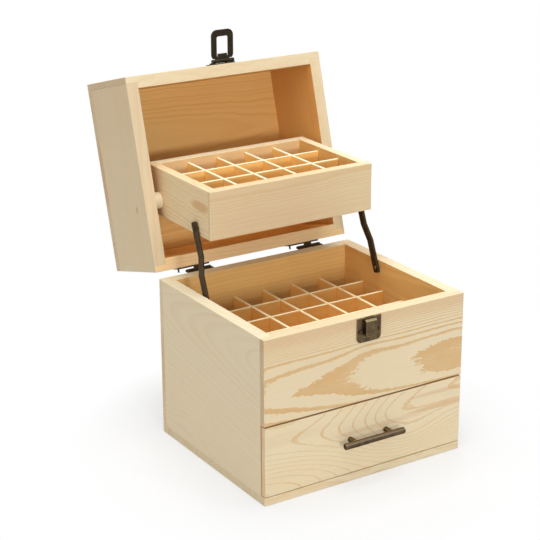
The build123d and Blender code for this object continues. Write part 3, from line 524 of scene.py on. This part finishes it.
# %% The two figured boards at the front
flame = {
    "pith": (-28.26, 64.45), "ring": 2.0, "first_year": -26.83, "taper": -0.0105,
    "swells": (
        (73, -37.8, 108, 9.5, -1.24), (-127, 7.8, 69, 12.4, -2.61), (85, 20.6, 160, 27.2, -6.62),
        (0.4, 9.2, 19.8, 7.2, -0.64), (-85, -18.5, 40, 6.0, -0.56), (-170, 18.1, 109, 5.2, -2.69),
    ),
    "wobble": 0.3, "uneven": 0.0, "rag": 0.40, "late": 0.98, "late_share": 0.32,
    "outer_years": (3.0, 4.0, 0.85), "honey": 0.35,
    "stains": ((0, 47, 900, 13, 0.36), (-120, 0, 110, 300, 0.09)),
}
tongues = {
    "pith": (0.0, 47.42), "ring": 2.7912, "first_year": -20.99, "taper": -0.0905,
    "swells": (
        (135.7, -36.5, 51, 39.8, 12.19), (-56.5, 31.7, 65.6, 15.8, 4.43),
        (28.9, 14.5, 15.4, 9.4, -0.65), (-81.8, -20.4, 147.7, 27.7, 14.0),
        (45.7, -12.3, 45, 10.4, -3.03),
    ),
    "wobble": 0.3, "uneven": 0.0, "rag": 0.30, "late": 0.70, "late_share": 0.13,
    "outer_years": (5.6, 7.0, 0.7), "honey": 0.6,
    "stains": (
        (88, 9.5, 30, 1.9, 0.60), (92, 24, 34, 1.6, 0.40), (18, 6.5, 38, 1.8, 0.28),
        (-95, 19, 40, 5.0, 0.16),
    ),
}
print(len(flame["swells"]), "swells in the flame,", len(tongues["swells"]), "in the tongues")

# %% Boards of the case and the drawer
boards = {
    "bottom_board": (X, -Z, {"pith": (20, 30), "ring": 3.4, "late": 0.75}),
    "left_side": (-Y, -X, {
        "pith": (52, 31), "ring": 5.0, "taper": -0.16, "wobble": 3.0, "late": 0.26, "honey": 0.15,
        "swells": ((-42, -46, 27, 15, 3.4), (75, -20, 25, 12, 0.8)),
        "tints": ((X, DEEP_INSIDE), (-Y, SIDE_GAP_SHADE), (Z, SANDED_AND_LIT_EDGE)),
        "shade": (0.985, 0.99, 1.0),
    }),
    "right_side": (Y, X, {
        # The patch towards the back is painted shade.
        "pith": (60, 30), "ring": 2.6, "late": 0.5, "stains": ((85, 45, 55, 60, 0.42),),
        "tints": ((-X, RIGHT_INSIDE), (Z, SANDED_AND_LIT_EDGE)),
    }),
    "back_board": (X, Y, {
        # The broad patch low on this board is painted shade.
        "pith": (30, 25), "ring": 4.0, "late": 0.55, "stains": ((0, 12, 900, 26, 0.40),),
        "tints": ((-Y, BACK_INSIDE), (Z, SANDED_AND_LIT_EDGE)),
    }),
    "front_board": (X, -Y, {
        **flame, "end": FRONT_END, "tints": ((Y, WARM_INSIDE), (-Z, SEAM_GAP_SHADE), (Z, FRONT_RIM)),
    }),
    "middle_shelf": (X, Z, {"late": 0.3, "shade": DARK_SHELF}),
    "drawer_front": (X, -Y, {
        **tongues, "end": DRAWER_END, "tints": ((Y, DRAWER_INSIDE), (Z, DRAWER_TOP)),
    }),
    "drawer_left_side": (Y, -X, {}),
    "drawer_right_side": (Y, X, {}),
    "drawer_back": (X, Y, {}),
    "drawer_bottom": (X, -Z, {}),
}
print(len(boards), "boards in the case and the drawer")

# %% [markdown]
# ## Boards that swing
#
# The lid's boards are cut in the same way, only with their directions turned with the lid. The
# tray hangs level between its arms, so its boards keep to the directions of the case. Its left
# side shows a dark eye where a twig once grew.

# %% Boards of the lid
boards.update({
    "lid_top_board": (X, lid_Z, {
        "pith": (-30, 34), "ring": 3.2, "taper": 0.03, "late": 0.80, "end": PANEL_END,
        "stains": ((-110, -2, 4, 22, 0.45), (75, -30, 90, 80, 0.32)),
        "tints": ((-lid_Z, PANEL_INSIDE),),
    }),
    "lid_left_side": (-lid_Y, -X, {
        "pith": (-60, 14), "ring": 4.5, "taper": -0.05, "late": 0.24, "honey": 0.5,
        "stains": ((-33, -20, 2.4, 1.2, 1.0), (95, 0, 45, 300, 0.10)),
        "tints": ((X, DEEP_INSIDE),), "shade": (0.92, 0.885, 0.86),
    }),
    "lid_right_side": (lid_Y, X, {
        "pith": (50, 14), "ring": 2.6, "late": 0.5, "tints": ((-X, DEEP_INSIDE),),
    }),
    "lid_front_board": (X, -lid_Y, {
        "pith": (60, 20), "late": 0.4, "end": LID_FRONT_END, "tints": ((lid_Y, WARM_INSIDE),),
    }),
    "lid_back_board": (X, lid_Y, {
        "pith": (60, 20), "late": 0.4,
        "tints": ((-lid_Y, LID_BACK_INSIDE), (-lid_Z, LID_BACK_RIM)),
    }),
    "tray_spacers": (Y, X, {"ring": 2.0, "late": 0.3}),
})
print(len(boards), "boards with those of the lid")

# %% Boards of the tray
boards.update({
    "tray_front_board": (X, -Y, {
        "pith": (22, 20), "ring": 2.2, "late": 0.55, "honey": 1.0,
        "stains": ((-80, 0, 90, 200, 0.22),),
        "tints": ((Y, WARM_INSIDE), (Z, SANDED_AND_LIT_EDGE)), "shade": (0.99, 0.965, 0.92),
    }),
    "tray_back_board": (X, Y, {
        "pith": (-60, 20), "late": 0.3, "tints": ((-Y, TRAY_BACK_INSIDE), (Z, SANDED_AND_LIT_EDGE)),
    }),
    "tray_left_side": (-Y, -X, {
        "pith": (-34, 16), "ring": 3.4, "taper": 0.05, "wobble": 6.0, "rag": 0.25,
        "late": 0.9, "late_share": 0.15,
        "stains": ((43, 5.5, 12, 3.6, 0.80), (-48, 0, 16, 200, 0.28)),
        "tints": ((X, WARM_INSIDE), (Z, SANDED_AND_LIT_EDGE)), "shade": (0.98, 0.92, 0.82),
    }),
    "tray_right_side": (Y, X, {
        "pith": (-26, 36), "late": 0.6, "tints": ((-X, WARM_INSIDE), (Z, SANDED_AND_LIT_EDGE)),
    }),
    "tray_bottom": (X, -Z, {"shade": (1.15, 1.0, 0.75)}),
})
print(len(boards), "boards with those of the tray")

# %% [markdown]
# ## The thin plates
#
# The slots are grids of thin sawn plates, halved into each other. Their upper edges carry painted
# light, which makes them nearly white, and their faces carry painted orange bounce light, because
# hardly any light reaches them without touching wood first. Their feet carry painted shade. The
# grids of the case and the drawer lie deeper than the tray's, so they get the stronger painted
# shade and are the darker ones, and the case's cross plates get painted shade at the back as well.

# %% Thin plates of the grids, with painted bounce light, painted light on top and painted shade
CASE_PLATE = (1.36, 1.02, 0.47)
CASE_PLATE_TOP = (1.34, 1.54, 1.60)
TRAY_PLATE = (1.32, 1.03, 0.52)
TRAY_PLATE_TOP = (1.30, 1.62, 1.90)
SHADE_AT_THE_BACK = (70, 0, 45, 200, 0.35)


def plate_look(warm, top, foot_shade, *more_shades):
    """A thin plate with painted bounce light on its faces, painted light on top, painted shade
    below.
    """
    return {
        "ring": 2.4, "late": 0.35, "end": (1.0, 1.0, 1.0),
        "tints": ((X, warm), (-X, warm), (Y, warm), (-Y, warm), (Z, top)),
        "stains": ((0, -30, 900, 18, foot_shade), *more_shades),
    }


deep_plate = plate_look(CASE_PLATE, CASE_PLATE_TOP, 0.5)
tray_plate = plate_look(TRAY_PLATE, TRAY_PLATE_TOP, 0.22)
shaded_plate = plate_look(CASE_PLATE, CASE_PLATE_TOP, 0.5, SHADE_AT_THE_BACK)
for part, long_look, cross_look in (
    ("case", deep_plate, shaded_plate),
    ("drawer", deep_plate, deep_plate),
    ("tray", tray_plate, tray_plate),
):
    boards[f"{part}_long_dividers"] = (X, -Y, long_look)
    boards[f"{part}_cross_dividers"] = (Y, X, cross_look)
print(len(boards), "boards and plates in all")

# %% [markdown]
# ## Laying the wood on
#
# Each board gets a material of its own, because the pattern is measured from the board's middle.
# The seed moves every board to another place in the noise, so that no two share a fibre.

# %% Every board gets its material
FIRST_SEED = 10.0
SEED_STEP = 7.3


def middle(name):
    """The middle of a node's box at rest."""
    low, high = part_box(name)
    return (low + high) / 2


def give(piece, material):
    """Put one material on the whole of a piece."""
    piece.data.materials.clear()
    piece.data.materials.append(material)


for order, (name, (along, face, changes)) in enumerate(boards.items()):
    seed = FIRST_SEED + SEED_STEP * order
    give(nodes[name], pine(f"pine_{name}", along, face, middle(name), seed, **changes))
print(len(boards), "boards and plates in pine")

# %% [markdown]
# ## Antique bronze
#
# The fittings are steel, plated and then darkened, so they are almost black in the hollows and
# brown where fingers and tools have rubbed them. A metal shows mostly what it reflects, and here
# that is a white room, so the darkest finishes are only partly metallic, and all have a brown tint
# on their gloss.
#
# Two nodes find the places that matter. Where the Bevel node's rolled normal leaves the true one,
# the point is near an edge, and edges are rubbed bright, with a painted highlight on top of the
# wear. Ambient Occlusion tells how open the air around a point is, and the colour darkens where
# it is closed: partly the patina that stays in the hollows, partly painted shade in recesses and
# between parts. Faces that look up get a painted highlight, as if lit from above.

# %% Where edges are rubbed and glint, and where patina and painted shade darken the hollows
NEAR_AN_EDGE = [(0.80, 1.0), (0.985, 0.0)]
OPEN_TO_THE_AIR = [(0.35, 0.25), (0.85, 1.0)]
SAMPLES = 6


def worn_and_glinting_edges(tree, patches):
    """Bright along the edges, more so in the worn patches: wear with a painted highlight."""
    flat = node(tree, "ShaderNodeNewGeometry", {}).outputs["Normal"]
    rolled = node(tree, "ShaderNodeBevel", {"Radius": 0.9 * MM}, samples=SAMPLES).outputs[0]
    edge = facing_mask(tree, flat, rolled, NEAR_AN_EDGE)
    return calculate(tree, "MULTIPLY", edge, calculate(tree, "MULTIPLY_ADD", patches, 0.9, 0.25))


def patina_and_shade(tree):
    """Dark in the hollows and between parts, white in the open: patina and painted shade."""
    around = node(tree, "ShaderNodeAmbientOcclusion", {"Distance": 4.0 * MM}, samples=SAMPLES)
    return ramp(tree, around.outputs["AO"], OPEN_TO_THE_AIR)


# %% The bronze finish
BROWN_GLOSS = (0.55, 0.42, 0.28, 1)


def bronze(name, dark, worn, rubbed_and_lit, metallic, roughness, top_highlight, seed):
    """Darkened, worn, faintly uneven plating, with painted highlights on edges and tops."""
    material = empty_material(name)
    tree = material.node_tree
    coords = node(tree, "ShaderNodeTexCoord", {})
    place = node(
        tree, "ShaderNodeMapping",
        {"Vector": coords.outputs["Object"], "Scale": (1 / MM, 1 / MM, 1 / MM)},
    ).outputs[0]
    patches = stretched_noise(tree, place, (0.16, 0.16, 0.16), seed, detail=3, roughness=0.55)
    specks = stretched_noise(tree, place, (2.2, 2.2, 2.2), seed + 5, detail=3, roughness=0.6)
    amount = calculate(
        tree, "MULTIPLY_ADD", specks, 0.25, calculate(tree, "MULTIPLY", patches, 0.75)
    )
    wear = ramp(tree, amount, [(0.34, 0.0), (0.68, 1.0)])
    colour = blend_colours(tree, wear, (*dark, 1), (*worn, 1))
    colour = blend_colours(tree, worn_and_glinting_edges(tree, patches), colour, (*rubbed_and_lit, 1))
    # Faces that look up get a painted highlight.
    upward = node(tree, "ShaderNodeSeparateXYZ", {0: coords.outputs["Normal"]}).outputs["Z"]
    painted_top_highlight = ramp(tree, upward, [(0.40, 0.0), (0.60, top_highlight), (0.85, 0.6 * top_highlight)])
    colour = blend_colours(tree, painted_top_highlight, colour, (*rubbed_and_lit, 1))
    # Patina and painted shade darken the hollows and the places between parts.
    colour = blend_colours(tree, 1.0, colour, patina_and_shade(tree), "MULTIPLY")
    bump = node(
        tree, "ShaderNodeBump", {"Height": specks, "Strength": 0.2, "Distance": 0.06 * MM}
    )
    lay_surface(tree, {
        "Base Color": colour,
        "Metallic": metallic,
        "Roughness": calculate(tree, "MULTIPLY_ADD", wear, -0.12, roughness),
        "Specular IOR Level": 0.15,
        "Specular Tint": BROWN_GLOSS,
        "Normal": bump.outputs[0],
    })
    return material


# %% [markdown]
# ## Four shades of bronze
#
# The fittings did not all age alike. The arms and the hinges are dark and dull, the hasp is nearly
# black, and the latch and the drawer's handle shine where they are touched every day and get the
# strongest painted highlight on their tops. Each shade is given as three colours: in the dark
# places, in the worn ones and where it is rubbed bright or carries a painted highlight.

# %% Every fitting gets its shade
arm_bronze = bronze(
    "arm_bronze", (0.033, 0.020, 0.009), (0.066, 0.041, 0.018), (0.180, 0.125, 0.068),
    metallic=0.25, roughness=0.50, top_highlight=0.10, seed=1.0,
)
hasp_bronze = bronze(
    "hasp_bronze", (0.020, 0.015, 0.009), (0.040, 0.031, 0.019), (0.200, 0.160, 0.100),
    metallic=0.30, roughness=0.46, top_highlight=0.12, seed=3.0,
)
latch_bronze = bronze(
    "latch_bronze", (0.076, 0.051, 0.028), (0.175, 0.122, 0.064), (0.800, 0.620, 0.340),
    metallic=0.80, roughness=0.34, top_highlight=0.50, seed=2.0,
)
handle_bronze = bronze(
    "handle_bronze", (0.062, 0.044, 0.030), (0.150, 0.106, 0.068), (0.800, 0.620, 0.380),
    metallic=0.90, roughness=0.28, top_highlight=0.24, seed=4.0,
)
finishes = {
    "hasp_loop": hasp_bronze, "hasp_bracket": hasp_bronze, "hasp_pin": hasp_bronze,
    "latch_plate": latch_bronze, "latch_catch": latch_bronze,
    "handle_bar": handle_bronze, "handle_posts": handle_bronze,
    # The arms' case screws take the brighter handle bronze; their paler colour is a painted glint.
    "arm_case_screws": handle_bronze,
}
fittings = [name for name in nodes if name not in boards]
for name in fittings:
    give(nodes[name], finishes.get(name, arm_bronze))
print(len(fittings), "fittings in bronze")

# %% [markdown]
# ## Edges that catch the light
#
# Stamped metal, sanded boards and sawn plates never have a perfectly sharp edge, and a thin bright
# line along an edge is what makes a part look real. A Bevel modifier could round them, but the
# solids here are exact and stay as they are. So a copy of each one is joined up, its flat faces
# are made whole, and its sharp edges are rolled over by a fraction of a millimetre. The copy then
# stands for the solid.

# %% Softened copies
JOIN_WITHIN = 0.001 * MM
STILL_FLAT = math.radians(0.5)
SHARP = math.radians(35)
STEPS_ROUND_AN_EDGE = 2


def add_object(name, shape):
    """Turn a finished bmesh into an object of the scene."""
    data = bpy.data.meshes.new(name)
    shape.to_mesh(data)
    shape.free()
    made = bpy.data.objects.new(name, data)
    bpy.context.scene.collection.objects.link(made)
    return made


def softened(name, width):
    """A copy of a solid with its sharp edges rounded over, in that solid's place."""
    source = nodes[name]
    shape = bmesh.new()
    shape.from_mesh(source.data)
    bmesh.ops.remove_doubles(shape, verts=shape.verts, dist=JOIN_WITHIN)
    bmesh.ops.dissolve_limit(
        shape, angle_limit=STILL_FLAT, verts=shape.verts, edges=shape.edges
    )
    sharp = [
        edge for edge in shape.edges
        if len(edge.link_faces) == 2 and edge.calc_face_angle() > SHARP
    ]
    for face in shape.faces:
        face.smooth = False
    rolled = bmesh.ops.bevel(
        shape, geom=sharp, offset=width * MM, offset_type="OFFSET", segments=STEPS_ROUND_AN_EDGE,
        profile=0.5, affect="EDGES", material=-1, clamp_overlap=True,
    )
    for face in rolled["faces"]:
        face.smooth = True
    piece = add_object(f"soft_{name}", shape)
    give(piece, source.data.materials[0])
    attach(piece, source["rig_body"])
    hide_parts(name)
    return piece


# %% [markdown]
# ## Which edges are soft
#
# Boards are sanded, plates are sawn and barely broken at the edge, and metal is stamped, so each
# has its own width of rounding. The bottom board's joint with the sides stays tight, so it gets
# less. The shelf and the tray's bottom are let in between other boards with no edge to see, and
# the round spacers are turned.

# %% Soften boards, plates and stamped metal
PLATE_EDGE = 0.35
BOARD_EDGE = 0.40
BOTTOM_EDGE = 0.20
METAL_EDGE = 0.22
left_sharp = ("tray_spacers", "middle_shelf", "tray_bottom")
thin_plates = [name for name in boards if name.endswith("dividers")]
sanded_boards = [name for name in boards if name not in thin_plates and name not in left_sharp]
stamped = (
    "left_arm", "right_arm", "latch_plate", "latch_catch", "hasp_bracket",
    "left_hinge_case_leaf", "right_hinge_case_leaf", "left_hinge_lid_leaf", "right_hinge_lid_leaf",
)
for name in thin_plates:
    softened(name, PLATE_EDGE)
for name in sanded_boards:
    softened(name, BOTTOM_EDGE if name == "bottom_board" else BOARD_EDGE)
for name in stamped:
    softened(name, METAL_EDGE)
print(len(thin_plates) + len(sanded_boards) + len(stamped), "softened copies")

# %% [markdown]
# ## The floor
#
# The box stands on a white sweep. White paint under lamps never comes out an even white, so the
# floor glows instead, but only for the eye: Light Path picks out the rays that come straight from
# the camera, off metal or through glass. All other rays meet matte paint, so the floor lights the
# box as paper would. Near the box the glow is weaker and lets the soft shadow through.


# %% Rays that see a background
def seen_rays(tree):
    """One for rays from the camera, off metal and through glass, and nothing for the others."""
    rays = node(tree, "ShaderNodeLightPath", {})
    bent = calculate(
        tree, "MAXIMUM", rays.outputs["Is Glossy Ray"], rays.outputs["Is Transmission Ray"]
    )
    return calculate(tree, "MAXIMUM", rays.outputs["Is Camera Ray"], bent)


# %% The white sweep
floor_size = 6.0
floor_drop = 0.2 * MM
shadow_reach = (0.15, 0.24)
glow_near, glow_far = 0.56, 1.0

shape = bmesh.new()
bmesh.ops.create_grid(shape, x_segments=1, y_segments=1, size=floor_size / 2)
bmesh.ops.translate(shape, vec=(0, 0, -floor_drop), verts=shape.verts)
floor = add_object("floor", shape)

floor_material = empty_material("white_sweep")
tree = floor_material.node_tree
matte = node(tree, "ShaderNodeBsdfDiffuse", {"Color": (0.85, 0.85, 0.85, 1)})
glow = node(tree, "ShaderNodeEmission", {"Color": (1, 1, 1, 1), "Strength": 1.0})
coords = node(tree, "ShaderNodeTexCoord", {})
away = node(
    tree, "ShaderNodeVectorMath", {0: coords.outputs["Object"]}, operation="LENGTH"
).outputs["Value"]
clean = node(
    tree, "ShaderNodeMapRange",
    {0: away, 1: shadow_reach[0], 2: shadow_reach[1], 3: glow_near, 4: glow_far},
).outputs[0]
share = calculate(tree, "MULTIPLY", seen_rays(tree), clean)
mixed = node(tree, "ShaderNodeMixShader", {0: share, 1: matte.outputs[0], 2: glow.outputs[0]})
node(tree, "ShaderNodeOutputMaterial", {"Surface": mixed.outputs[0]})
give(floor, floor_material)
print("floor", floor_size, "m wide, clean from", shadow_reach[1], "m out")

# %% [markdown]
# ## The background
#
# The world has two faces in the same way. To the eye it is plain white. To everything else it is a
# dim dome, faintly blue as daylight is, that only fills the shadows.

# %% The world
world = bpy.data.worlds.new("studio")
bpy.context.scene.world = world
world.use_nodes = True
tree = world.node_tree
tree.nodes.clear()
dome = node(tree, "ShaderNodeBackground", {"Color": (0.95, 0.98, 1.0, 1), "Strength": 0.30})
backdrop = node(tree, "ShaderNodeBackground", {"Color": (1, 1, 1, 1), "Strength": 1.0})
mixed = node(
    tree, "ShaderNodeMixShader", {0: seen_rays(tree), 1: dome.outputs[0], 2: backdrop.outputs[0]}
)
node(tree, "ShaderNodeOutputWorld", {"Surface": mixed.outputs[0]})
print("world:", world.name)

# %% [markdown]
# ## The lamps
#
# A broad lamp from the left gives the wood its soft light. A small one, low in front, draws the
# tray's shadow on the lid and the handle's on the drawer. One close above brightens the upper
# edges and the slots, and a broad one behind keeps the far sides from going dark. Large lamps far
# away give soft even light, and a small one gives a shadow with an edge.

# %% Lamps
aim_height = 0.15


def soft_lamp(name, azimuth, elevation, distance, size, power):
    """A square lamp aimed at the box from a compass direction and a height, both in degrees."""
    data = bpy.data.lights.new(name, "AREA")
    data.size = size
    data.energy = power
    lamp = bpy.data.objects.new(name, data)
    bpy.context.scene.collection.objects.link(lamp)
    out = direction(azimuth, elevation)
    lamp.location = Vector((0, 0, aim_height)) + distance * out
    lamp.rotation_euler = out.to_track_quat("Z", "Y").to_euler()
    print(name, power, "W at", [round(value, 2) for value in lamp.location])


soft_lamp("side_lamp", azimuth=-60, elevation=30, distance=5.0, size=3.4, power=61.0)
soft_lamp("key_lamp", azimuth=-12, elevation=10, distance=5.0, size=0.6, power=79.0)
soft_lamp("top_lamp", azimuth=0, elevation=88, distance=1.6, size=1.2, power=20.5)
soft_lamp("back_lamp", azimuth=150, elevation=30, distance=5.0, size=3.0, power=36.0)

# %% Sizes and finish
import json
